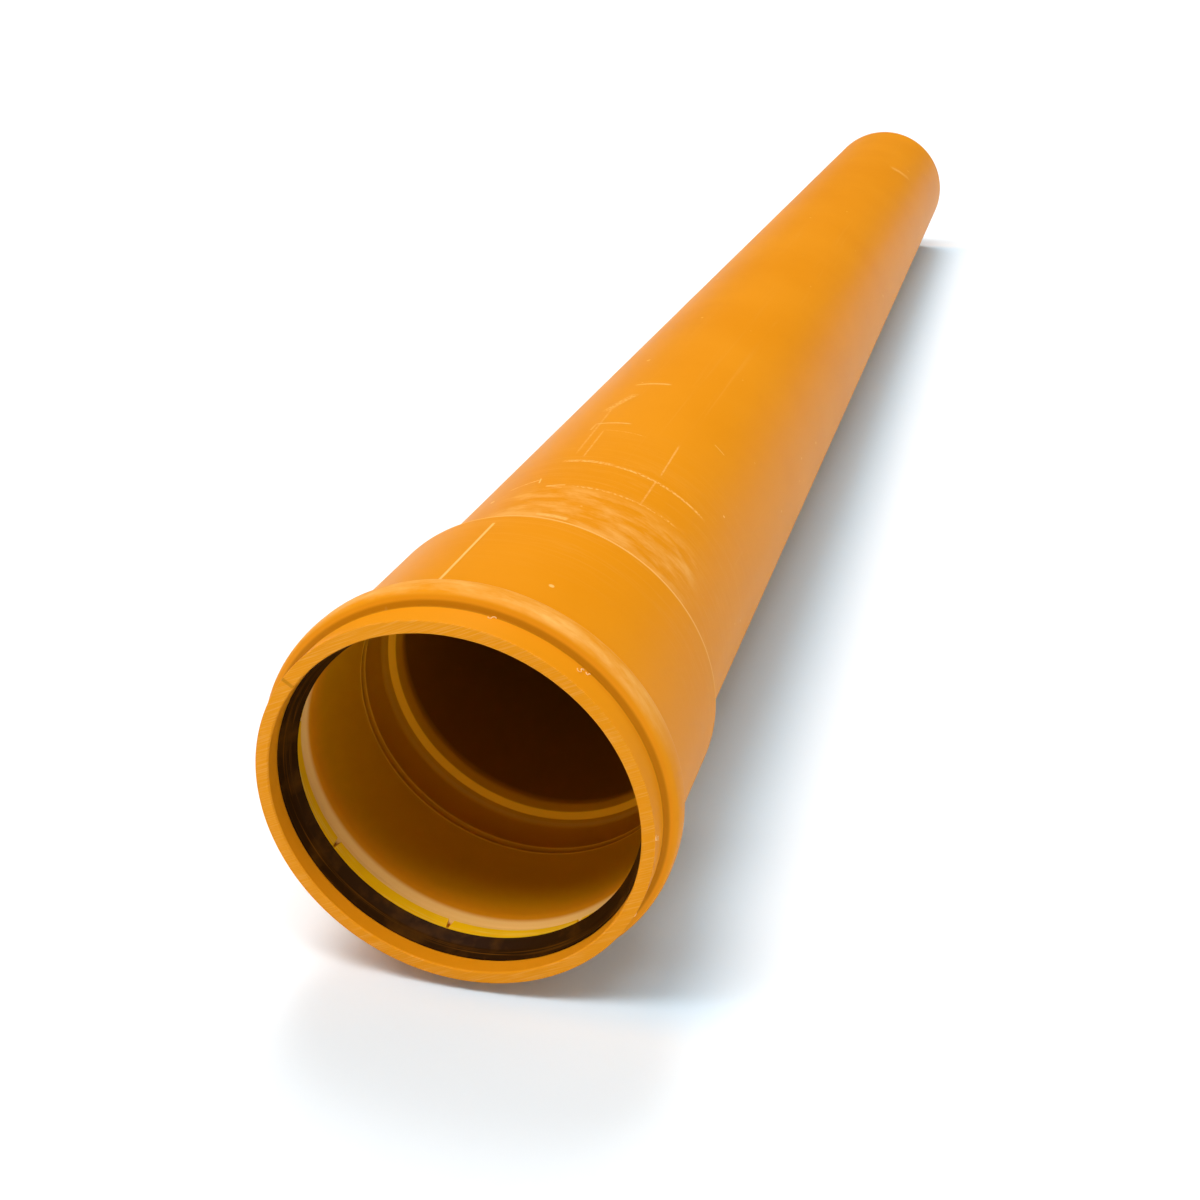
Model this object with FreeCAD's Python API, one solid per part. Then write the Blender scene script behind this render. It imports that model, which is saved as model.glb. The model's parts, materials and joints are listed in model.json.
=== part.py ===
import FreeCAD, Part
import math
import os

# Socketed PVC-U cable protection pipe, lying on its side. Millimetres, +Z up.
# The axis is level and runs along Y: the socket's mouth faces -Y and the plain spigot end faces +Y.
# The origin is under the middle of the pipe, level with the lowest point of the socket's bead.
# Every section is drawn as (distance from the mouth, radius, corner rounding) and turned about the axis.

# ---- barrel and spigot ----
PIPE_OUTER_D = 110.0
PIPE_WALL = 3.2
LAYING_LENGTH = 1000.0        # what one pipe adds to a run: pipe stop to spigot end
SPIGOT_CHAMFER_LENGTH = 7.0
SPIGOT_CHAMFER_ANGLE = 15.0   # degrees from the axis
SPIGOT_EDGE_ROUND = 0.4

# ---- socket ----
INSERTION_DEPTH = 74.5        # mouth to pipe stop
SOCKET_CLEARANCE = 0.4        # radial, between a spigot and the socket's bore
SOCKET_WALL = 4.0
SHOULDER_LENGTH = 7.0         # the cone that closes the socket down to the barrel
SHOULDER_LEAD = 1.0           # the cone starts this much sooner outside than inside
SHOULDER_ROUND = 1.6
STOP_LENGTH = 4.5             # the steeper cone inside, from the pipe stop to the barrel's bore
STOP_ROUND = 3.0
STOP_EDGE_ROUND = 1.0

# ---- rim collar ----
COLLAR_LENGTH = 8.8           # mouth to the foot of the bead
RIM_BEVEL = 0.4               # inside edge
RIM_EDGE_ROUND = 0.3          # outside edge

# ---- bead, the raised ring that houses the seal ----
BEAD_HEIGHT = 4.1             # above the collar
BEAD_WIDTH = 13.2
BEAD_WALL = 3.1               # between the bead's crest and the groove's floor
BEAD_FRONT_RUN = 1.6          # along the axis, under the steep front flank
BEAD_BACK_RUN = 4.0           # along the axis, under the gentler back flank
BEAD_FRONT_ROUND = 3.0
BEAD_BACK_ROUND = 2.0
BEAD_FOOT_ROUND = 0.4

# ---- groove inside the bead ----
GROOVE_FRONT_SETBACK = 2.0    # from the front of the bead's crest to the front of the floor
GROOVE_BACK_SETBACK = 1.2
GROOVE_FLARE_RUN = 5.3        # the collar's bore opens gently before the front flank
GROOVE_FLARE_RISE = 1.4
GROOVE_FRONT_RUN = 2.1
GROOVE_BACK_RUN = 2.2
FUNNEL_RISE = 1.8             # the cone that leads a spigot from the groove into the bore
FUNNEL_SHELF = 2.8            # level run behind the retaining ring, before the cone
FUNNEL_LENGTH = 3.2
GROOVE_ROUND = 0.5
FUNNEL_ROUND = 6.0

# ---- two faint ridges left in the socket's bore when it is formed ----
RIDGE_FROM_STOP = 15.5        # pipe stop to the middle of the pair
RIDGE_PITCH = 3.0
RIDGE_WIDTH = 1.4
RIDGE_HEIGHT = 0.22

# ---- rubber sealing ring ----
SEAL_CLEARANCE = 0.12         # to the groove's walls
SEAL_HEEL = 1.7               # thickness along the axis at the groove's floor
SEAL_HEEL_LIFT = 1.0          # the heel's inner edge stands this far outside a spigot
SEAL_TOE = 0.35               # thickness of the front edge
SEAL_TOE_RUN = 3.6            # front edge to the crease where the lip starts
SEAL_TOE_DROP = 0.75
SEAL_LIP_RUN = 3.6
SEAL_LIP_BITE = 2.3           # how far the free lip stands inside a spigot's surface
SEAL_LIP_THICKNESS = 1.1
SEAL_POCKET_SHARE = 0.7       # share of the lip's length that the pocket behind it frees
SEAL_ROUND = 0.3

# ---- stiff retaining ring, behind the seal ----
RING_CLEARANCE = 0.12         # to the groove's walls and to the seal's heel
RING_BORE_CLEARANCE = 0.3     # radial, to a spigot
RING_ROUND = 0.3
NOTCH_COUNT = 8
NOTCH_BACK_WIDTH = 1.9
NOTCH_FRONT_WIDTH = 0.7
NOTCH_WEB = 0.8               # left uncut at the ring's front
NOTCH_ANGLE = 12.5            # first notch, in degrees from straight down towards -X
CUT_OVERSHOOT = 1.0           # a cutter reaches this far past what it cuts

PIPE_R = PIPE_OUTER_D / 2
BORE_R = PIPE_R - PIPE_WALL
SOCKET_R = PIPE_R + SOCKET_CLEARANCE
COLLAR_R = SOCKET_R + SOCKET_WALL
BEAD_R = COLLAR_R + BEAD_HEIGHT
LENGTH = INSERTION_DEPTH + LAYING_LENGTH

BEAD_START = COLLAR_LENGTH
BEAD_END = BEAD_START + BEAD_WIDTH
CREST_START = BEAD_START + BEAD_FRONT_RUN
CREST_END = BEAD_END - BEAD_BACK_RUN

FLOOR_R = BEAD_R - BEAD_WALL
FLOOR_START = CREST_START + GROOVE_FRONT_SETBACK
FLOOR_END = CREST_END - GROOVE_BACK_SETBACK
FLARE_END = FLOOR_START - GROOVE_FRONT_RUN
FLARE_START = FLARE_END - GROOVE_FLARE_RUN
FUNNEL_START = FLOOR_END + GROOVE_BACK_RUN
SHELF_END = FUNNEL_START + FUNNEL_SHELF

# the groove's wall, from the collar's bore round to the socket's bore
GROOVE = [
    (FLARE_START, SOCKET_R),
    (FLARE_END, SOCKET_R + GROOVE_FLARE_RISE),
    (FLOOR_START, FLOOR_R),
    (FLOOR_END, FLOOR_R),
    (FUNNEL_START, SOCKET_R + FUNNEL_RISE),
    (SHELF_END, SOCKET_R + FUNNEL_RISE),
    (SHELF_END + FUNNEL_LENGTH, SOCKET_R),
]
GROOVE_ROUNDS = [GROOVE_ROUND] * 6 + [FUNNEL_ROUND]


def section_point(point):
    return FreeCAD.Vector(point[1], point[0], 0)


def rounded_corner(before, corner, after, radius):
    """Start, middle and end of the arc that rounds a corner, or None where it stays sharp."""
    to_before, to_after = before - corner, after - corner
    half_angle = to_before.getAngle(to_after) / 2
    longest = 0.45 * min(to_before.Length, to_after.Length)
    setback = min(radius / math.tan(half_angle), longest)
    radius = setback * math.tan(half_angle)
    if setback <= 0:
        return None
    start = corner + to_before.normalize() * setback
    end = corner + to_after.normalize() * setback
    inward = ((start + end) / 2 - corner).normalize()
    middle = corner + inward * (radius / math.sin(half_angle) - radius)
    return start, middle, end


def turned(outline):
    """Solid of revolution of a closed outline of (distance, radius, rounding) corners."""
    corners = [section_point(point) for point in outline]
    joints = []
    for i, (corner, point) in enumerate(zip(corners, outline)):
        after = corners[(i + 1) % len(corners)]
        arc = rounded_corner(corners[i - 1], corner, after, point[2]) if point[2] else None
        joints.append(arc or (corner, None, corner))
    edges = []
    for i, (start, middle, end) in enumerate(joints):
        if middle:
            edges.append(Part.Arc(start, middle, end).toShape())
        edges.append(Part.LineSegment(end, joints[(i + 1) % len(joints)][0]).toShape())
    face = Part.Face(Part.Wire(edges))
    return face.revolve(FreeCAD.Vector(0, 0, 0), FreeCAD.Vector(0, 1, 0), 360)


def inset(path, gap):
    """The path of (distance, radius) corners, moved towards the axis by a gap."""
    runs = []
    for (s0, r0), (s1, r1) in zip(path, path[1:]):
        length = math.hypot(s1 - s0, r1 - r0)
        shift_s, shift_r = gap * (r1 - r0) / length, -gap * (s1 - s0) / length
        runs.append(((s0 + shift_s, r0 + shift_r), (s1 + shift_s, r1 + shift_r)))
    moved = [runs[0][0]]
    for ((s0, r0), (s1, r1)), ((s2, r2), (s3, r3)) in zip(runs, runs[1:]):
        cross = (s1 - s0) * (r3 - r2) - (r1 - r0) * (s3 - s2)
        share = ((s2 - s0) * (r3 - r2) - (r2 - r0) * (s3 - s2)) / cross
        moved.append((s0 + share * (s1 - s0), r0 + share * (r1 - r0)))
    return moved + [runs[-1][1]]


def placed(shape):
    """Lay the part down: middle of its length over the origin, bead on the ground."""
    shape.translate(FreeCAD.Vector(0, -LENGTH / 2, BEAD_R))
    return shape


def outside_profile():
    shoulder_start = INSERTION_DEPTH - SHOULDER_LEAD
    chamfer_start = LENGTH - SPIGOT_CHAMFER_LENGTH
    chamfer_drop = SPIGOT_CHAMFER_LENGTH * math.tan(math.radians(SPIGOT_CHAMFER_ANGLE))
    return [
        (0, COLLAR_R, RIM_EDGE_ROUND),
        (BEAD_START, COLLAR_R, BEAD_FOOT_ROUND),
        (CREST_START, BEAD_R, BEAD_FRONT_ROUND),
        (CREST_END, BEAD_R, BEAD_BACK_ROUND),
        (BEAD_END, COLLAR_R, BEAD_FOOT_ROUND),
        (shoulder_start, COLLAR_R, SHOULDER_ROUND),
        (shoulder_start + SHOULDER_LENGTH, PIPE_R, SHOULDER_ROUND),
        (chamfer_start, PIPE_R, 0),
        (LENGTH, PIPE_R - chamfer_drop, SPIGOT_EDGE_ROUND),
    ]


def ridge_profile(middle):
    return [
        (middle + RIDGE_WIDTH / 2, SOCKET_R, 0),
        (middle, SOCKET_R - RIDGE_HEIGHT, RIDGE_WIDTH),
        (middle - RIDGE_WIDTH / 2, SOCKET_R, 0),
    ]


def inside_profile():
    ridges_middle = INSERTION_DEPTH - RIDGE_FROM_STOP
    groove = [(s, r, rounding) for (s, r), rounding in zip(GROOVE, GROOVE_ROUNDS)]
    return [
        (LENGTH, BORE_R, 0),
        (INSERTION_DEPTH + STOP_LENGTH, BORE_R, STOP_EDGE_ROUND),
        (INSERTION_DEPTH, SOCKET_R, STOP_ROUND),
        *ridge_profile(ridges_middle + RIDGE_PITCH / 2),
        *ridge_profile(ridges_middle - RIDGE_PITCH / 2),
        *reversed(groove),
        (RIM_BEVEL, SOCKET_R, 0),
        (0, SOCKET_R + RIM_BEVEL, 0),
    ]


def pipe():
    return turned(outside_profile() + inside_profile())


def heel_back():
    """Where the seal's heel ends and the retaining ring's place begins."""
    return inset(GROOVE[:4], SEAL_CLEARANCE)[2][0] + SEAL_HEEL


def sealing_ring():
    toe, flare, floor, _ = inset(GROOVE[:4], SEAL_CLEARANCE)
    crease = (toe[0] + SEAL_TOE_RUN, toe[1] - SEAL_TOE - SEAL_TOE_DROP)
    tip = (crease[0] + SEAL_LIP_RUN, PIPE_R - SEAL_LIP_BITE)
    lip_length = math.hypot(tip[0] - crease[0], tip[1] - crease[1])
    along = ((tip[0] - crease[0]) / lip_length, (tip[1] - crease[1]) / lip_length)
    tip_back = (tip[0] - along[1] * SEAL_LIP_THICKNESS, tip[1] + along[0] * SEAL_LIP_THICKNESS)
    pocket = SEAL_POCKET_SHARE * lip_length
    root = (tip_back[0] - along[0] * pocket, tip_back[1] - along[1] * pocket)
    return turned([
        (*toe, 0),
        (*flare, SEAL_ROUND),
        (*floor, SEAL_ROUND),
        (heel_back(), floor[1], SEAL_ROUND),
        (heel_back(), PIPE_R + SEAL_HEEL_LIFT, SEAL_ROUND),
        (*root, SEAL_ROUND),
        (*tip_back, SEAL_ROUND),
        (*tip, SEAL_ROUND),
        (*crease, SEAL_LIP_THICKNESS),
        (toe[0], toe[1] - SEAL_TOE, 0),
    ])


def notch_cutter(front, back, inner_r, outer_r):
    """Wedge that opens towards the ring's back and past it, pointing straight down."""
    half_front = NOTCH_FRONT_WIDTH / 2
    spread = (NOTCH_BACK_WIDTH / 2 - half_front) / (back - front)
    back += CUT_OVERSHOOT
    half_back = half_front + spread * (back - front)
    corners = [
        FreeCAD.Vector(-half_front, front, -inner_r),
        FreeCAD.Vector(half_front, front, -inner_r),
        FreeCAD.Vector(half_back, back, -inner_r),
        FreeCAD.Vector(-half_back, back, -inner_r),
    ]
    face = Part.Face(Part.makePolygon(corners + corners[:1]))
    return face.extrude(FreeCAD.Vector(0, 0, inner_r - outer_r))


def retaining_ring():
    _, _, _, floor, back, _ = inset(GROOVE[:6], RING_CLEARANCE)
    front = heel_back() + RING_CLEARANCE
    ring_r = PIPE_R + RING_BORE_CLEARANCE
    ring = turned([
        (front, floor[1], RING_ROUND),
        (*floor, RING_ROUND),
        (*back, RING_ROUND),
        (back[0], ring_r, RING_ROUND),
        (front, ring_r, RING_ROUND),
    ])
    cutter = notch_cutter(front + NOTCH_WEB, back[0], ring_r - CUT_OVERSHOOT, floor[1] + CUT_OVERSHOOT)
    for i in range(NOTCH_COUNT):
        notch = cutter.copy()
        angle = NOTCH_ANGLE + 360 / NOTCH_COUNT * i
        notch.rotate(FreeCAD.Vector(0, 0, 0), FreeCAD.Vector(0, 1, 0), angle)
        ring = ring.cut(notch)
    return ring.Solids[0]


os.makedirs("parts", exist_ok=True)
for name, make in (
    ("pipe", pipe),
    ("sealing_ring", sealing_ring),
    ("retaining_ring", retaining_ring),
):
    solid = placed(make())
    print(name, solid.ShapeType, len(solid.Solids), solid.isValid(), round(solid.Volume, 1))
    solid.exportStep(f"parts/{name}.step")
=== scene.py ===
import json
import math
import random

import bmesh
import bpy
from mathutils import Matrix, Vector


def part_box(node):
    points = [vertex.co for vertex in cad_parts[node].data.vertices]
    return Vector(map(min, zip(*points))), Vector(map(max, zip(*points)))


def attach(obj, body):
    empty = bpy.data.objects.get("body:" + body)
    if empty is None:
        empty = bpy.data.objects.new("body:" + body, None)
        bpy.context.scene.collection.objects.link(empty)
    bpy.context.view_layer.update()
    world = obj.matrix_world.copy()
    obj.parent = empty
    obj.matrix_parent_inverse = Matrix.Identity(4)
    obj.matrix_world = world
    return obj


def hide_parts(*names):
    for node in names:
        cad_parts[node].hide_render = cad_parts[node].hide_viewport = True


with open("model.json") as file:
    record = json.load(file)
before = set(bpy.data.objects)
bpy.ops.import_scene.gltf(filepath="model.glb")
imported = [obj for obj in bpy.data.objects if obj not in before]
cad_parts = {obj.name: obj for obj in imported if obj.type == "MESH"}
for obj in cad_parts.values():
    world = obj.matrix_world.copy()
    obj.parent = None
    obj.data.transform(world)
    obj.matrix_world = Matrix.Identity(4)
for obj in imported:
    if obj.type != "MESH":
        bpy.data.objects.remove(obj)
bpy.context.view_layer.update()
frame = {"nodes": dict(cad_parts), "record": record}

# ---------------------------------------------------------------- sizes, in metres
MM = 0.001
MOUNTS = {mount["name"]: mount for mount in frame["record"]["mounts"]}
PIPE_LOW, PIPE_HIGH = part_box("pipe")
MOUTH_Y = PIPE_LOW.y
LENGTH = PIPE_HIGH.y - PIPE_LOW.y
AXIS_Z = MOUNTS["socket"]["pos_m"][2]
BEAD_R = PIPE_HIGH.x
PIPE_R = MOUNTS["spigot"]["dims"]["r_mm"] * MM
BORE_R = MOUNTS["cable_bore"]["dims"]["r_mm"] * MM
SOCKET_R = MOUNTS["socket"]["dims"]["r_mm"] * MM
INSERTION_DEPTH = MOUNTS["socket"]["dims"]["length_mm"] * MM
COLLAR_R = 59.4 * MM
COLLAR_LENGTH = 8.8 * MM
BEAD_CROWN, BEAD_CROWN_ROUND = 13.6 * MM, 16 * MM
RIM_BEVEL = 0.4 * MM
CREST_START, CREST_END, BEAD_END = 10.4 * MM, 18.0 * MM, 22.0 * MM
SHOULDER_START, SHOULDER_LENGTH = 73.5 * MM, 7.0 * MM
CHAMFER_LENGTH, CHAMFER_DROP = 7.0 * MM, 1.876 * MM
GROOVE_R = 60.4 * MM
GROOVE_START, GROOVE_END = 12.4 * MM, 16.8 * MM
FLARE_START, FLARE_END, FLARE_RISE = 5.0 * MM, 10.3 * MM, 1.4 * MM
SHELF_START, SHELF_END, SHELF_RISE = 19.0 * MM, 21.8 * MM, 1.8 * MM
FUNNEL_END = 25.0 * MM
STOP_LENGTH = 4.5 * MM
RIDGE_MIDDLE, RIDGE_PITCH, RIDGE_WIDTH, RIDGE_HEIGHT = 59.0 * MM, 3.0 * MM, 1.4 * MM, 0.22 * MM
FLOOR_TILT = math.atan((BEAD_R - PIPE_R) / (LENGTH - CHAMFER_LENGTH - CREST_END))
RIDGES = (RIDGE_MIDDLE + RIDGE_PITCH / 2, RIDGE_MIDDLE - RIDGE_PITCH / 2)
TURN_STEPS = 256
CORNER_STEPS = 6
random.seed(11)

# ---------------------------------------------------------------- where the finish and the painted highlights and shade change
# distances from the mouth in metres, and degrees clockwise from the top
HANDLED_RUN = (80 * MM, 130 * MM)
RUBBED_RUN, RUBBED_DEGREES = (82 * MM, 106 * MM), (-14.0, 52.0)
BEAD_SCUFF_AND_HIGHLIGHT_DEGREES = (-38.0, 52.0)
SEAM_RUN, SEAM_DEGREES = (22 * MM, 67 * MM), (-9.45, -8.95)
SHOULDER_HIGHLIGHT_LINE = (73.0 * MM, 73.7 * MM)
BEAD_BACK_HIGHLIGHT_LINE = (BEAD_END - 0.2 * MM, BEAD_END + 0.3 * MM)
BEAD_FOOT_SHADE_LINE = (COLLAR_LENGTH - 0.3 * MM, COLLAR_LENGTH + 0.5 * MM)
ROUNDING_HIGHLIGHT = (19.2 * MM, 23.2 * MM)
RIDGE_TOP_HALF_WIDTH = 0.2 * MM
STOP_HIGHLIGHT_LINE = (75.5 * MM, 77.1 * MM)
BORE_SHADE_RISE, BORE_SHADE_FADE = (80 * MM, 84 * MM), (300 * MM, 600 * MM)
CREASE_DEGREES = (-52.0, -51.4)
SAW_DIRECTION = math.radians(24)


# ---------------------------------------------------------------- modelling
def piece_from(bm, name, sharp_angle=35):
    """Turn a bmesh into a smooth piece that rides on the part's one body."""
    mesh = bpy.data.meshes.new(name)
    bm.to_mesh(mesh)
    bm.free()
    mesh.shade_smooth()
    mesh.set_sharp_from_angle(angle=math.radians(sharp_angle))
    piece = bpy.data.objects.new(name, mesh)
    bpy.context.scene.collection.objects.link(piece)
    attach(piece, "root")
    return piece


def round_corners(verts, outline, bm):
    """Bevel each corner of the profile by its rounding."""
    places = [vert.co.copy() for vert in verts]
    for i, (vert, (_, _, radius)) in enumerate(zip(verts, outline)):
        if not radius:
            continue
        before, after = places[i - 1] - places[i], places[(i + 1) % len(places)] - places[i]
        setback = radius / math.tan(before.angle(after) / 2)
        setback = min(setback, 0.45 * before.length, 0.45 * after.length)
        bmesh.ops.bevel(
            bm, geom=[vert], offset=setback, offset_type="OFFSET", affect="VERTICES",
            segments=CORNER_STEPS, profile=0.5, material=-1,
        )


def turned_piece(name, outline):
    """A closed outline of (distance, radius, rounding) corners, turned about the pipe's axis."""
    bm = bmesh.new()
    verts = [bm.verts.new((0, MOUTH_Y + s, AXIS_Z + r)) for s, r, _ in outline]
    for a, b in zip(verts, verts[1:] + verts[:1]):
        bm.edges.new((a, b))
    round_corners(verts, outline, bm)
    bmesh.ops.spin(
        bm, geom=bm.verts[:] + bm.edges[:], cent=(0, 0, AXIS_Z), axis=(0, 1, 0), dvec=(0, 0, 0),
        angle=math.tau, steps=TURN_STEPS, use_merge=True, use_duplicate=False,
    )
    bmesh.ops.remove_doubles(bm, verts=bm.verts[:], dist=1e-7)
    bmesh.ops.recalc_face_normals(bm, faces=bm.faces[:])
    return piece_from(bm, name)


def ridge(middle):
    return [
        (middle + RIDGE_WIDTH / 2, SOCKET_R, 0),
        (middle, SOCKET_R - RIDGE_HEIGHT, RIDGE_WIDTH),
        (middle - RIDGE_WIDTH / 2, SOCKET_R, 0),
    ]


# distance from the mouth, radius, and the rounding of the corner
PIPE_OUTLINE = [
    (0, COLLAR_R, 0.3 * MM),
    (COLLAR_LENGTH, COLLAR_R, 0.4 * MM),
    (CREST_START, BEAD_R - 0.5 * MM, 2.2 * MM),
    (BEAD_CROWN, BEAD_R, BEAD_CROWN_ROUND),
    (CREST_END, BEAD_R - 0.2 * MM, 2.0 * MM),
    (BEAD_END, COLLAR_R, 0.4 * MM),
    (SHOULDER_START, COLLAR_R, 1.2 * MM),
    (SHOULDER_START + SHOULDER_LENGTH, PIPE_R, 1.6 * MM),
    (LENGTH - CHAMFER_LENGTH, PIPE_R, 0.3 * MM),
    (LENGTH, PIPE_R - CHAMFER_DROP, 0.4 * MM),
    (LENGTH, BORE_R, 0.2 * MM),
    (INSERTION_DEPTH + STOP_LENGTH + 2.0 * MM, BORE_R, 2.0 * MM),
    (INSERTION_DEPTH + STOP_LENGTH - 1.6 * MM, BORE_R + 0.7 * MM, 0.5 * MM),
    (INSERTION_DEPTH + 1.0 * MM, SOCKET_R - 1.1 * MM, 0.8 * MM),
    (INSERTION_DEPTH - 2.5 * MM, SOCKET_R, 4.0 * MM),
    *ridge(RIDGES[0]),
    *ridge(RIDGES[1]),
    (FUNNEL_END, SOCKET_R, 6.0 * MM),
    (SHELF_END, SOCKET_R + SHELF_RISE, 0.5 * MM),
    (SHELF_START, SOCKET_R + SHELF_RISE, 0.5 * MM),
    (GROOVE_END, GROOVE_R, 0.5 * MM),
    (GROOVE_START, GROOVE_R, 0.5 * MM),
    (FLARE_END, SOCKET_R + FLARE_RISE, 0.5 * MM),
    (FLARE_START, SOCKET_R, 0.5 * MM),
    (RIM_BEVEL, SOCKET_R, 0),
    (0, SOCKET_R + RIM_BEVEL, 0),
]


# ---------------------------------------------------------------- sawing swarf
CHIP_R, CHIP_SIDES, CURL_STEPS = 0.14 * MM, 6, 14
# degrees from the top, millimetres behind the mouth, and width in millimetres of each curl
CURLS = [(90.0, 1.1, 1.5), (39.0, 6.2, 1.3), (41.5, 7.4, 0.8), (12.0, 7.8, 1.0), (117.0, 1.2, 1.2)]


def swarf_curls(name):
    """Thin S-shaped threads of plastic left on the collar by the saw."""
    bm = bmesh.new()
    for degrees, along, width in CURLS:
        turn = math.radians(degrees)
        out = Vector((math.sin(turn), 0, math.cos(turn)))
        across = Vector((math.cos(turn), 0, -math.sin(turn)))
        start = Vector((0, MOUTH_Y + along * MM, AXIS_Z)) + out * (COLLAR_R + CHIP_R / 2)
        placing = Matrix.Translation(start) @ Matrix.Rotation(math.radians(90), 4, "X")
        verts = bmesh.ops.create_circle(
            bm, cap_ends=True, segments=CHIP_SIDES, radius=CHIP_R, matrix=placing)["verts"]
        edges = list({edge for vert in verts for edge in vert.link_edges})
        centre, angle = start + across * width * MM / 2, math.radians(random.uniform(190, 250))
        for _ in range(2):
            last = bmesh.ops.spin(
                bm, geom=verts + edges, cent=centre, axis=out, dvec=(0, 0, 0), angle=angle,
                steps=CURL_STEPS, use_merge=False, use_duplicate=False)["geom_last"]
            verts = [item for item in last if isinstance(item, bmesh.types.BMVert)]
            edges = [item for item in last if isinstance(item, bmesh.types.BMEdge)]
            end = sum((vert.co for vert in verts), Vector()) / len(verts)
            centre = end + (end - centre) * random.uniform(0.7, 1.2)
            angle = -angle * random.uniform(0.6, 0.9)
        bmesh.ops.holes_fill(bm, edges=edges, sides=0)
    bmesh.ops.recalc_face_normals(bm, faces=bm.faces[:])
    return piece_from(bm, name)


# ---------------------------------------------------------------- node helpers
def add(tree, kind, inputs=None, **settings):
    """A node with its settings and inputs; an input is a value or another node's output."""
    node = tree.nodes.new(kind)
    for key, value in settings.items():
        setattr(node, key, value)
    for key, value in (inputs or {}).items():
        connect(tree, node.inputs[key], value)
    return node


def connect(tree, socket, value):
    if isinstance(value, bpy.types.NodeSocket):
        tree.links.new(value, socket)
    else:
        socket.default_value = value


def maths(tree, operation, *values):
    return add(tree, "ShaderNodeMath", dict(enumerate(values)), operation=operation).outputs[0]


def vector_maths(tree, operation, *values):
    return add(tree, "ShaderNodeVectorMath", dict(enumerate(values)), operation=operation).outputs[0]


def stretch(tree, place, amounts):
    return vector_maths(tree, "MULTIPLY", place, amounts)


def turn_about(tree, place, angle, axis):
    inputs = {"Vector": place, "Angle": angle}
    return add(tree, "ShaderNodeVectorRotate", inputs, rotation_type=axis).outputs[0]


def product(tree, *values):
    result = values[0]
    for value in values[1:]:
        result = maths(tree, "MULTIPLY", result, value)
    return result


def remap(tree, value, low, high, to_low=0.0, to_high=1.0, smooth=False):
    inputs = {"Value": value, "From Min": low, "From Max": high, "To Min": to_low, "To Max": to_high}
    kind = "SMOOTHSTEP" if smooth else "LINEAR"
    return add(tree, "ShaderNodeMapRange", inputs, interpolation_type=kind, clamp=True).outputs["Result"]


def band(tree, value, start, end, blur):
    """One between start and end, falling to nothing over the blur on each side."""
    rise = remap(tree, value, start - blur, start, smooth=True)
    fall = remap(tree, value, end, end + blur, 1.0, 0.0, smooth=True)
    return product(tree, rise, fall)


def noise(tree, place, scale, detail=2.0, roughness=0.5):
    inputs = {"Vector": place, "Scale": scale, "Detail": detail, "Roughness": roughness}
    return add(tree, "ShaderNodeTexNoise", inputs).outputs["Fac"]


def tint(tree, share, under, over):
    """The under colour, covered by the over colour as far as the share says."""
    node = add(tree, "ShaderNodeMix", data_type="RGBA")
    sockets = {socket.identifier: socket for socket in node.inputs}
    connect(tree, sockets["Factor_Float"], share)
    connect(tree, sockets["A_Color"], under)
    connect(tree, sockets["B_Color"], over)
    return next(socket for socket in node.outputs if socket.identifier == "Result_Color")


def paint(tree, color, over, *masks):
    """Cover the colour with another one as far as the product of the masks says."""
    return tint(tree, product(tree, *masks), color, over)


def highest(tree, *values):
    result = values[0]
    for value in values[1:]:
        result = maths(tree, "MAXIMUM", result, value)
    return result


FLOAT, VECTOR = "NodeSocketFloat", "NodeSocketVector"


def new_group(name, inputs, outputs):
    group = bpy.data.node_groups.new(name, "ShaderNodeTree")
    for socket_name, kind, default in inputs:
        socket = group.interface.new_socket(socket_name, in_out="INPUT", socket_type=kind)
        if default is not None:
            socket.default_value = default
    for socket_name, kind in outputs:
        group.interface.new_socket(socket_name, in_out="OUTPUT", socket_type=kind)
    return group, group.nodes.new("NodeGroupInput").outputs, group.nodes.new("NodeGroupOutput").inputs


def place_group(tree, group, **inputs):
    node = add(tree, "ShaderNodeGroup", node_tree=group)
    for key, value in inputs.items():
        connect(tree, node.inputs[key], value)
    return node.outputs


# ---------------------------------------------------------------- effects
def make_round_surface():
    """Places on any turned surface: distance from the mouth, radius, and degrees from the top."""
    group, _, out = new_group(
        "round_surface", [],
        [("Along", FLOAT), ("Radius", FLOAT), ("Degrees", FLOAT), ("Skin", VECTOR), ("Sheet", VECTOR)],
    )
    place = add(group, "ShaderNodeTexCoord").outputs["Object"]
    parts = add(group, "ShaderNodeSeparateXYZ", {0: place}).outputs
    height = maths(group, "SUBTRACT", parts["Z"], AXIS_Z)
    along = maths(group, "SUBTRACT", parts["Y"], MOUTH_Y)
    angle = maths(group, "ARCTAN2", parts["X"], height)
    spoke = add(group, "ShaderNodeCombineXYZ", {0: parts["X"], 1: 0.0, 2: height}).outputs[0]
    radius = add(group, "ShaderNodeVectorMath", {0: spoke}, operation="LENGTH").outputs["Value"]
    unit = vector_maths(group, "NORMALIZE", spoke)
    unit_parts = add(group, "ShaderNodeSeparateXYZ", {0: unit}).outputs
    across = product(group, angle, PIPE_R)
    skin = add(group, "ShaderNodeCombineXYZ", {
        0: product(group, unit_parts["X"], PIPE_R),
        1: along,
        2: product(group, unit_parts["Z"], PIPE_R),
    }).outputs[0]
    sheet = add(group, "ShaderNodeCombineXYZ", {0: across, 1: along, 2: 0.0}).outputs[0]
    for name, value in (
        ("Along", along), ("Radius", radius), ("Degrees", maths(group, "DEGREES", angle)),
        ("Skin", skin), ("Sheet", sheet),
    ):
        group.links.new(value, out[name])
    return group


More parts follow.
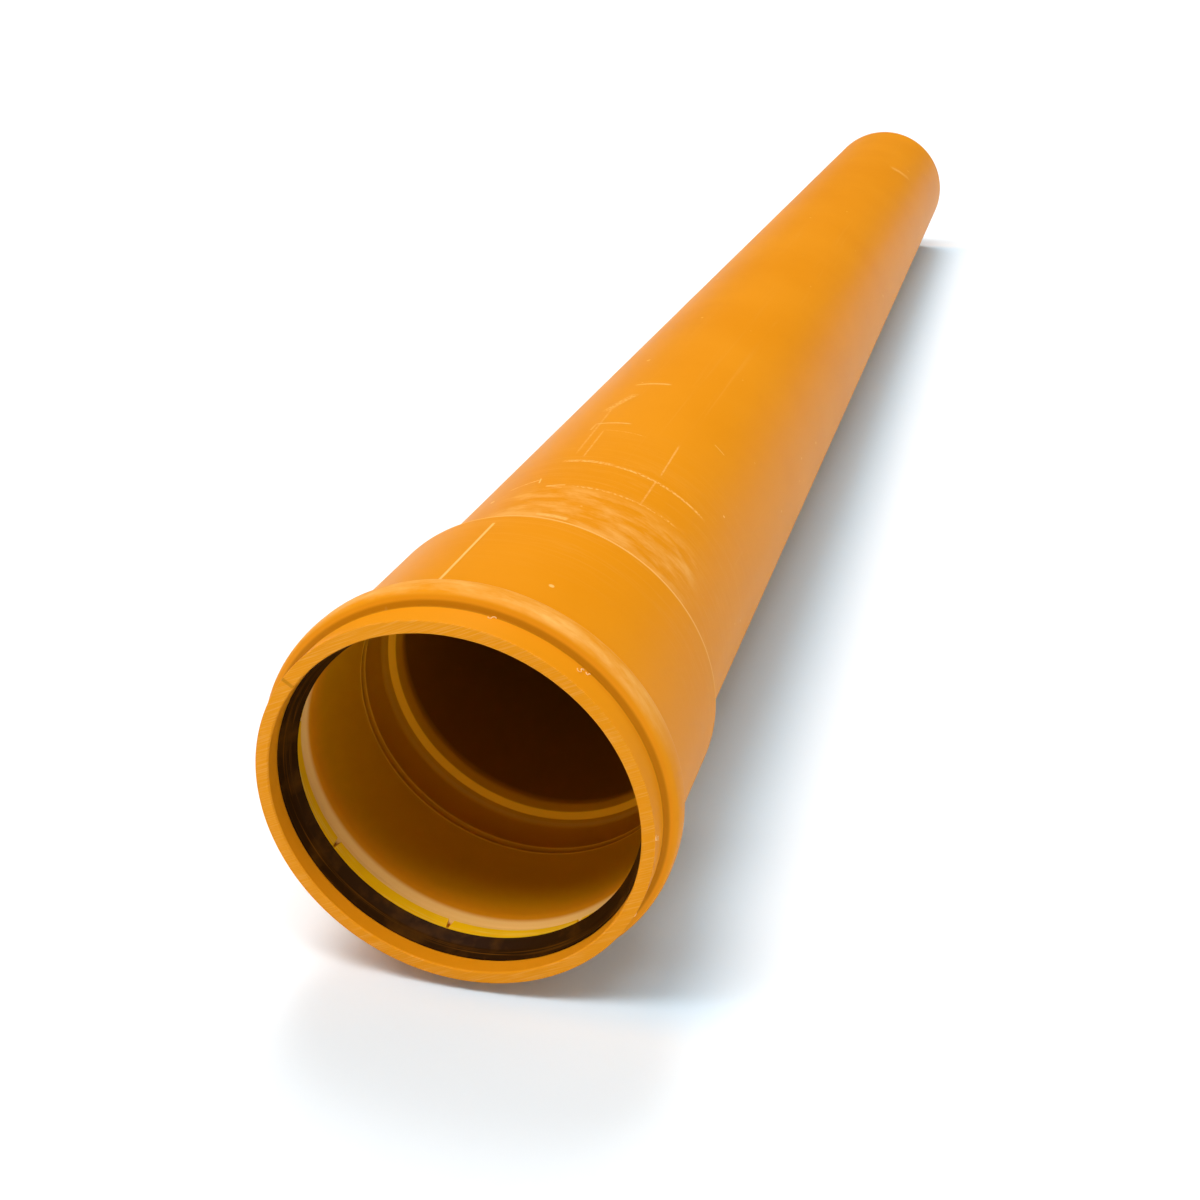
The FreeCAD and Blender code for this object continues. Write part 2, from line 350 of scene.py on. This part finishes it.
def make_scratches():
    """Fine broken lines that run along the direction in which the pattern is stretched."""
    group, inp, out = new_group(
        "scratches",
        [("Skin", VECTOR, None), ("Grain", VECTOR, None), ("Width", FLOAT, 0.02), ("Breaks", FLOAT, 0.55)],
        [("Mask", FLOAT)],
    )
    stretched = stretch(group, inp["Skin"], inp["Grain"])
    crest = maths(group, "ABSOLUTE", maths(group, "SUBTRACT", noise(group, stretched, 1.0, 1.5), 0.5))
    line = maths(group, "SUBTRACT", 1.0, maths(group, "DIVIDE", crest, inp["Width"]))
    line = maths(group, "MAXIMUM", line, 0.0)
    patches = maths(group, "SUBTRACT", noise(group, stretched, 0.31, 3.0), inp["Breaks"])
    kept = remap(group, patches, 0.0, 0.07)
    group.links.new(product(group, line, kept), out["Mask"])
    return group


def make_specks():
    """Scattered round dots of uneven size."""
    group, inp, out = new_group(
        "specks",
        [("Skin", VECTOR, None), ("Spacing", FLOAT, 0.01), ("Size", FLOAT, 0.1), ("Share", FLOAT, 0.2)],
        [("Mask", FLOAT)],
    )
    scale = maths(group, "DIVIDE", 1.0, inp["Spacing"])
    cells = add(group, "ShaderNodeTexVoronoi", {"Vector": inp["Skin"], "Scale": scale}).outputs
    chance = add(group, "ShaderNodeSeparateXYZ", {0: cells["Color"]}).outputs
    size = product(group, inp["Size"], chance["Y"])
    dot = remap(group, maths(group, "SUBTRACT", size, cells["Distance"]), 0.0, 0.03)
    kept = maths(group, "LESS_THAN", chance["X"], inp["Share"])
    group.links.new(product(group, dot, kept), out["Mask"])
    return group


def make_stroke():
    """One straight rub mark on the unrolled surface, broken by gaps as far as it is ragged."""
    group, inp, out = new_group(
        "rub_mark",
        [("Sheet", VECTOR, None), ("Middle", VECTOR, None), ("Turn", FLOAT, 0.0),
         ("Half Length", FLOAT, 0.01), ("Half Width", FLOAT, 0.0005),
         ("Ragged", FLOAT, 0.5), ("Gaps", FLOAT, 0.0)],
        [("Mask", FLOAT)],
    )
    moved = vector_maths(group, "SUBTRACT", inp["Sheet"], inp["Middle"])
    turned = turn_about(group, moved, inp["Turn"], "Z_AXIS")
    parts = add(group, "ShaderNodeSeparateXYZ", {0: turned}).outputs
    ends = maths(group, "DIVIDE", maths(group, "ABSOLUTE", parts["X"]), inp["Half Length"])
    sides = maths(group, "DIVIDE", maths(group, "ABSOLUTE", parts["Y"]), inp["Half Width"])
    inside = product(group, remap(group, ends, 0.75, 1.0, 1.0, 0.0, True),
                   remap(group, sides, 0.3, 1.0, 1.0, 0.0, True))
    ragged = maths(group, "SUBTRACT", 1.0, product(group, inp["Ragged"], inp["Gaps"]))
    group.links.new(product(group, inside, ragged), out["Mask"])
    return group


ROUND_SURFACE = make_round_surface()
SCRATCHES = make_scratches()
SPECKS = make_specks()
RUB_MARK = make_stroke()

# rub marks on the barrel: degrees from the top and distance from the mouth in millimetres, for
# each of the two ends, then half width in millimetres, raggedness and strength
RUB_MARKS = [
    (-10.9, 228.4, 4.7, 229.4, 0.9, 0.3, 1.0),
    (-12.3, 177.8, 2.6, 177.4, 0.7, 0.3, 0.9),
    (-12.2, 171.0, -12.2, 177.6, 0.6, 0.5, 0.6),
    (-6.0, 169.1, -4.4, 138.6, 0.5, 0.7, 0.5),
    (-6.0, 169.1, 12.3, 167.0, 0.5, 0.8, 0.5),
    (-10.4, 135.7, 8.4, 134.5, 1.5, 0.8, 0.7),
    (8.4, 134.0, 49.0, 134.0, 1.0, 1.0, 0.9),
    (-24.1, 113.6, -13.5, 117.7, 0.6, 0.6, 0.9),
    (-13.6, 119.0, -12.6, 114.5, 0.4, 0.2, 1.0),
    (-8.4, 110.6, -1.6, 111.6, 0.5, 0.2, 1.0),
    (-8.6, 110.4, -2.0, 109.2, 0.4, 0.3, 0.7),
    (-0.9, 110.8, 42.5, 114.5, 0.8, 1.0, 0.7),
    (-2.0, 85.6, 8.0, 84.6, 1.6, 0.3, 0.8),
    (26.1, 139.1, 24.9, 171.7, 0.5, 0.6, 0.6),
    (26.3, 112.6, 25.9, 135.8, 0.5, 0.6, 0.5),
    (36.4, 189.3, 41.7, 187.6, 0.5, 0.2, 0.8),
    (-8.5, 141.6, -11.9, 201.5, 0.6, 0.8, 0.5),
    (-13.6, 195.8, -7.0, 213.2, 2.4, 1.0, 0.7),
    (31.0, 885.0, 43.0, 892.0, 5.0, 0.6, 0.6),
]


# ---------------------------------------------------------------- materials
ORANGE = (0.75, 0.27, 0.008, 1)
DEEP_ORANGE = (0.72, 0.25, 0.005, 1)
# painted shade for the inside of the socket and the pipe
INNER_SHADE_ORANGE = (0.6, 0.245, 0.001, 1)
# pale orange of wear, saw marks and swarf, also used for painted highlight lines and a painted sheen
PALE_ORANGE = (0.88, 0.47, 0.13, 1)
# painted highlight colour for the rounding behind the retaining ring
CREAM_HIGHLIGHT = (1.0, 0.62, 0.19, 1)
RIDGE_PALE = (0.95, 0.5, 0.04, 1)
# painted shade in the bore
BORE_SHADE = (0.2, 0.06, 0.001, 1)
# painted highlight on the stop's edge
STOP_HIGHLIGHT = (1.0, 0.44, 0.01, 1)
GROOVE_SHADE = (0.42, 0.14, 0.001, 1)
SOIL = (0.05, 0.02, 0.004, 1)
SWARF_PALE = (0.95, 0.7, 0.36, 1)
RUBBER, SMEARED_RUBBER = (0.024, 0.008, 0.001, 1), (0.13, 0.045, 0.002, 1)
YELLOW, DEEP_YELLOW, RUBBED_YELLOW = (0.96, 0.53, 0.003, 1), (0.9, 0.48, 0.002, 1), (0.95, 0.7, 0.2, 1)
# the cool floor colour is painted shade beside the pipe
FLOOR_PALE, FLOOR_SHADE_COOL = (0.88, 0.93, 0.96, 1), (0.66, 0.84, 0.98, 1)


def new_material(name):
    material = bpy.data.materials.new(name)
    material.use_nodes = True
    material.node_tree.nodes.clear()
    return material, material.node_tree


def finish_material(tree, color, roughness, normal=None, specular=0.5):
    inputs = {"Base Color": color, "Roughness": roughness, "Specular IOR Level": specular}
    if normal is not None:
        inputs["Normal"] = normal
    shader = add(tree, "ShaderNodeBsdfPrincipled", inputs)
    add(tree, "ShaderNodeOutputMaterial", {"Surface": shader.outputs[0]})


def finish_with(piece, material):
    piece.data.materials.clear()
    piece.data.materials.append(material)


def scratches(tree, skin, grain, width, breaks):
    return place_group(tree, SCRATCHES, Skin=skin, Grain=grain, Width=width, Breaks=breaks)["Mask"]


def rub_marks(tree, sheet):
    """All the rub marks in one mask."""
    gaps = remap(tree, noise(tree, sheet, 900.0, 2.0), 0.38, 0.62, 1.0, 0.0)
    marks = []
    for deg_a, s_a, deg_b, s_b, half_width, ragged, strength in RUB_MARKS:
        a = Vector((math.radians(deg_a) * PIPE_R, s_a * MM, 0))
        b = Vector((math.radians(deg_b) * PIPE_R, s_b * MM, 0))
        run = b - a
        half_width *= MM
        mark = place_group(
            tree, RUB_MARK, Sheet=sheet, Middle=(a + b) / 2, Turn=-math.atan2(run.y, run.x),
            Gaps=gaps, Ragged=ragged,
            **{"Half Length": run.length / 2 + half_width, "Half Width": half_width},
        )["Mask"]
        marks.append(product(tree, mark, strength))
    return highest(tree, *marks)


def pvc_material():
    material, tree = new_material("orange_pvc")
    place = place_group(tree, ROUND_SURFACE)
    along, radius, degrees = place["Along"], place["Radius"], place["Degrees"]
    skin, sheet = place["Skin"], place["Sheet"]
    outside = maths(tree, "GREATER_THAN", radius, PIPE_R - 1.0 * MM)

    # the plastic's own unevenness
    drift = remap(tree, noise(tree, skin, 14.0, 3.0), 0.35, 0.65)
    color = tint(tree, drift, ORANGE, DEEP_ORANGE)
    drawn = scratches(tree, skin, (700.0, 7.0, 700.0), 0.04, 0.58)
    drawn = product(tree, drawn, remap(tree, along, 70 * MM, 110 * MM))
    turned = scratches(tree, skin, (16.0, 1900.0, 16.0), 0.05, 0.55)

    # wear, most of it just behind the socket and on the bead, with painted highlights mixed in along the
    # shoulder's edge, the bead's back edge and the bead's crest
    near_socket = band(tree, along, *HANDLED_RUN, 60 * MM)
    patches = noise(tree, stretch(tree, skin, (70.0, 210.0, 70.0)), 1.0, 4.0, 0.65)
    rubbed_zone = product(
        tree, band(tree, along, *RUBBED_RUN, 8 * MM), band(tree, degrees, *RUBBED_DEGREES, 14.0),
        remap(tree, patches, 0.42, 0.66),
    )
    # scuffs on the bead's crest, strengthened into a painted highlight there
    bead_scuff_and_highlight = product(
        tree, remap(tree, radius, BEAD_R - 1.2 * MM, BEAD_R - 0.2 * MM),
        band(tree, degrees, *BEAD_SCUFF_AND_HIGHLIGHT_DEGREES, 25.0), remap(tree, patches, 0.35, 0.7),
    )
    fine = scratches(tree, skin, (60.0, 900.0, 60.0), 0.08, 0.47)
    strokes = rub_marks(tree, sheet)
    specks = place_group(tree, SPECKS, Skin=skin, Spacing=9 * MM, Size=0.12, Share=0.16)["Mask"]
    seam = product(tree, band(tree, degrees, *SEAM_DEGREES, 0.35), band(tree, along, *SEAM_RUN, 1.0 * MM))
    # painted highlight lines along the shoulder's edge and the bead's back edge
    shoulder_highlight = product(tree, band(tree, along, *SHOULDER_HIGHLIGHT_LINE, 0.6 * MM), 0.75)
    bead_back_highlight = product(tree, band(tree, along, *BEAD_BACK_HIGHLIGHT_LINE, 0.5 * MM), 0.6)
    wear_and_highlights = highest(
        tree,
        product(tree, turned, near_socket, 0.16),
        product(tree, drawn, 0.1),
        product(tree, rubbed_zone, 0.45),
        product(tree, fine, near_socket, 0.1),
        product(tree, bead_scuff_and_highlight, 0.75),
        strokes, specks, seam, shoulder_highlight, bead_back_highlight,
    )
    wear_and_highlights = product(tree, wear_and_highlights, outside)
    color = tint(tree, wear_and_highlights, color, PALE_ORANGE)
    # painted shade in the corner at the foot of the bead
    on_collar = maths(tree, "GREATER_THAN", radius, COLLAR_R - 0.2 * MM)
    bead_foot_shade = band(tree, along, *BEAD_FOOT_SHADE_LINE, 0.4 * MM)
    color = paint(tree, color, GROOVE_SHADE, bead_foot_shade, on_collar, 0.8)

    # the inside, browner away from the mouth: painted shade
    inside_limit = remap(tree, along, 75 * MM, 80 * MM, SOCKET_R + 0.1 * MM, PIPE_R - 1.0 * MM)
    inside = product(tree, maths(tree, "LESS_THAN", radius, inside_limit),
                     remap(tree, along, LENGTH - 20 * MM, LENGTH - 4 * MM, 1.0, 0.0))
    inside_shade = product(tree, inside, remap(tree, along, 24 * MM, 34 * MM, smooth=True))
    color = paint(tree, color, INNER_SHADE_ORANGE, inside_shade, remap(tree, drift, 0.0, 1.0, 0.8, 1.0))

    # the tops of the ridges are painted paler
    ridge_tops = highest(tree, *(
        band(tree, along, middle - RIDGE_TOP_HALF_WIDTH, middle + RIDGE_TOP_HALF_WIDTH, 0.35 * MM)
        for middle in RIDGES
    ))
    color = paint(tree, color, RIDGE_PALE, inside, ridge_tops, 0.55)

    # painted highlight on the stop's edge, and painted shade in the bore behind it
    color = paint(tree, color, STOP_HIGHLIGHT, band(tree, along, *STOP_HIGHLIGHT_LINE, 0.4 * MM), inside, 0.95)
    # painted shade in the bore, fading towards the spigot end
    bore = product(
        tree, remap(tree, along, *BORE_SHADE_RISE), inside, remap(tree, along, *BORE_SHADE_FADE, 1.0, 0.0))
    color = paint(tree, color, BORE_SHADE, bore, 0.9)

    # the sawn end face, with a crease where the cut met, drawn as a line of painted shade
    sawn = product(tree, remap(tree, along, 0.15 * MM, 0.6 * MM, 1.0, 0.0),
                   maths(tree, "GREATER_THAN", radius, SOCKET_R))
    object_place = add(tree, "ShaderNodeTexCoord").outputs["Object"]
    grain = stretch(tree, turn_about(tree, object_place, SAW_DIRECTION, "Y_AXIS"), (70.0, 0.0, 2600.0))
    saw_lines = product(tree, remap(tree, noise(tree, grain, 1.0, 2.0, 0.6), 0.48, 0.75), sawn)
    color = paint(tree, color, PALE_ORANGE, saw_lines, 0.4)
    # painted shade along the crease
    color = paint(tree, color, GROOVE_SHADE, band(tree, degrees, *CREASE_DEGREES, 0.5), sawn, 0.6)

    # painted highlight on the rounding behind the retaining ring
    funnel_highlight = product(tree, band(tree, along, *ROUNDING_HIGHLIGHT, 1.6 * MM),
                     maths(tree, "LESS_THAN", radius, SOCKET_R + SHELF_RISE + 0.2 * MM))
    color = paint(tree, color, CREAM_HIGHLIGHT, funnel_highlight, 0.9)

    # a few crumbs of soil inside
    crumbs = place_group(tree, SPECKS, Skin=skin, Spacing=26 * MM, Size=0.06, Share=0.12)["Mask"]
    color = paint(tree, color, SOIL, crumbs, inside)

    roughness = remap(tree, highest(tree, wear_and_highlights, saw_lines, funnel_highlight), 0.0, 1.0, 0.4, 0.6)
    waves = product(tree, noise(tree, stretch(tree, skin, (60.0, 5.0, 60.0)), 1.0), 0.5)
    relief = maths(tree, "ADD", waves, product(tree, highest(tree, wear_and_highlights, saw_lines), 0.15))
    bump = add(tree, "ShaderNodeBump", {"Height": relief, "Strength": 0.15, "Distance": 0.0002}).outputs[0]
    finish_material(tree, color, roughness, bump, specular=0.03)
    return material


def rubber_material():
    material, tree = new_material("black_rubber")
    place = place_group(tree, ROUND_SURFACE)
    smears = remap(tree, noise(tree, place["Skin"], 70.0, 4.0, 0.6), 0.5, 0.72)
    rings = scratches(tree, place["Skin"], (25.0, 1600.0, 25.0), 0.08, 0.5)
    marks = highest(tree, product(tree, smears, 0.5), rings)
    color = tint(tree, marks, RUBBER, SMEARED_RUBBER)
    roughness = remap(tree, marks, 0.0, 1.0, 0.42, 0.6)
    bump = add(tree, "ShaderNodeBump", {"Height": marks, "Strength": 0.2, "Distance": 0.0001}).outputs[0]
    finish_material(tree, color, roughness, bump, specular=0.05)
    return material


def ring_material():
    material, tree = new_material("yellow_ring_plastic")
    place = place_group(tree, ROUND_SURFACE)
    drift = remap(tree, noise(tree, place["Skin"], 90.0, 3.0), 0.35, 0.65)
    scuffs = scratches(tree, place["Skin"], (30.0, 1400.0, 30.0), 0.05, 0.52)
    color = paint(tree, tint(tree, drift, YELLOW, DEEP_YELLOW), RUBBED_YELLOW, scuffs, 0.4)
    roughness = remap(tree, highest(tree, scuffs, drift), 0.0, 1.0, 0.36, 0.48)
    finish_material(tree, color, roughness, specular=0.1)
    return material


def swarf_material():
    material, tree = new_material("pale_swarf")
    place = place_group(tree, ROUND_SURFACE)
    drift = remap(tree, noise(tree, place["Skin"], 400.0, 2.0), 0.35, 0.65)
    color = tint(tree, drift, PALE_ORANGE, SWARF_PALE)
    finish_material(tree, color, remap(tree, drift, 0.0, 1.0, 0.45, 0.6), specular=0.1)
    return material


# ---------------------------------------------------------------- stage, light and camera
FLOOR_HALF_SIZE = 30
STRIP_LIGHT, WINDOW_LIGHT, LEFT_WALL_LIGHT, ROOM_LIGHT = 9.8, 1.9, 0.1, 0.06
FILL_LEFT, FILL_RIGHT = 0.2, 0.6
LENS_MM, SENSOR_MM, LENS_SHIFT = 41.3, 36, (-0.125, -0.1083)
CAMERA_PLACE = (0.1483, MOUTH_Y - 0.3020, AXIS_Z + 0.2271)
CAMERA_TURN = (math.radians(90 - 20.955), 0, math.radians(11.702))


def make_floor():
    """The ground, on which the bead and the spigot end both rest, with painted cool shade beside the pipe."""
    bm = bmesh.new()
    bmesh.ops.create_grid(bm, x_segments=1, y_segments=1, size=FLOOR_HALF_SIZE)
    bmesh.ops.rotate(bm, verts=bm.verts[:], cent=(0, 0, 0), matrix=Matrix.Rotation(FLOOR_TILT, 3, "X"))
    bmesh.ops.translate(bm, verts=bm.verts[:], vec=(0, 0, -math.tan(FLOOR_TILT) * (MOUTH_Y + CREST_END)))
    mesh = bpy.data.meshes.new("floor")
    bm.to_mesh(mesh)
    bm.free()
    floor = bpy.data.objects.new("floor", mesh)
    bpy.context.scene.collection.objects.link(floor)
    material, tree = new_material("pale_floor")
    place = add(tree, "ShaderNodeSeparateXYZ", {0: add(tree, "ShaderNodeTexCoord").outputs["Object"]}).outputs
    # painted cool shade on the floor beside the pipe, darkening its shadow and cancelling the orange of the
    # bounced light
    shade_beside_pipe = product(
        tree, band(tree, place["X"], 10 * MM, 55 * MM, 50 * MM),
        band(tree, place["Y"], MOUTH_Y + 10 * MM, MOUTH_Y + LENGTH - 20 * MM, 20 * MM),
    )
    color = tint(tree, shade_beside_pipe, FLOOR_PALE, FLOOR_SHADE_COOL)
    finish_material(tree, color, roughness=0.8, specular=0.1)
    finish_with(floor, material)


def add_sun(name, azimuth, elevation, strength, softness):
    """A soft sun; azimuth turns clockwise from straight behind the spigot end."""
    lamp = bpy.data.lights.new(name, "SUN")
    lamp.energy = strength
    lamp.angle = math.radians(softness)
    sun = bpy.data.objects.new(name, lamp)
    a, e = math.radians(azimuth), math.radians(elevation)
    source = Vector((math.sin(a) * math.cos(e), math.cos(a) * math.cos(e), math.sin(e)))
    sun.rotation_euler = source.to_track_quat("Z", "Y").to_euler()
    bpy.context.scene.collection.objects.link(sun)


def make_world():
    """A studio with a strip softbox over the mouth, a window in front, fill and dim walls."""
    world = bpy.data.worlds.new("studio")
    world.use_nodes = True
    tree = world.node_tree
    tree.nodes.clear()
    direction = add(tree, "ShaderNodeSeparateXYZ", {0: add(tree, "ShaderNodeTexCoord").outputs["Generated"]})
    x, y, z = (direction.outputs[axis] for axis in "XYZ")
    along_strip = maths(tree, "ADD", band(tree, x, -0.5, 0.28, 0.15), 0.08)
    strip = product(tree, band(tree, y, -0.325, -0.18, 0.05), along_strip)
    strip = product(tree, strip, maths(tree, "GREATER_THAN", z, 0.0))
    fill = product(tree, band(tree, y, -0.3, 0.45, 0.25), remap(tree, x, 0.2, 0.7, FILL_LEFT, FILL_RIGHT))
    left_wall = product(tree, remap(tree, x, -0.12, -0.4, smooth=True), remap(tree, y, 0.4, 0.7))
    window = remap(tree, y, -0.84, -0.9, smooth=True)
    light = maths(tree, "ADD", product(tree, strip, STRIP_LIGHT), fill)
    light = maths(tree, "ADD", light, product(tree, left_wall, LEFT_WALL_LIGHT))
    light = maths(tree, "ADD", light, product(tree, window, WINDOW_LIGHT))
    light = maths(tree, "ADD", light, ROOM_LIGHT)
    background = add(tree, "ShaderNodeBackground", {"Color": (1, 1, 1, 1), "Strength": light})
    add(tree, "ShaderNodeOutputWorld", {"Surface": background.outputs[0]})
    bpy.context.scene.world = world


def make_camera():
    lens = bpy.data.cameras.new("camera")
    lens.lens, lens.sensor_width = LENS_MM, SENSOR_MM
    lens.shift_x, lens.shift_y = LENS_SHIFT
    lens.clip_start = 0.01
    camera = bpy.data.objects.new("camera", lens)
    camera.location, camera.rotation_euler = CAMERA_PLACE, CAMERA_TURN
    bpy.context.scene.collection.objects.link(camera)
    bpy.context.scene.camera = camera


# ---------------------------------------------------------------- put together
pipe = turned_piece("socketed_pipe", PIPE_OUTLINE)
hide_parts("pipe")
finish_with(pipe, pvc_material())

swarf = swarf_curls("sawing_swarf")
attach(swarf, "root")
finish_with(swarf, swarf_material())

finish_with(frame["nodes"]["sealing_ring"], rubber_material())
finish_with(frame["nodes"]["retaining_ring"], ring_material())

make_floor()
make_world()
add_sun("back_light", azimuth=-18, elevation=60, strength=1.3, softness=24)
make_camera()
bpy.context.scene.view_settings.view_transform = "Standard"
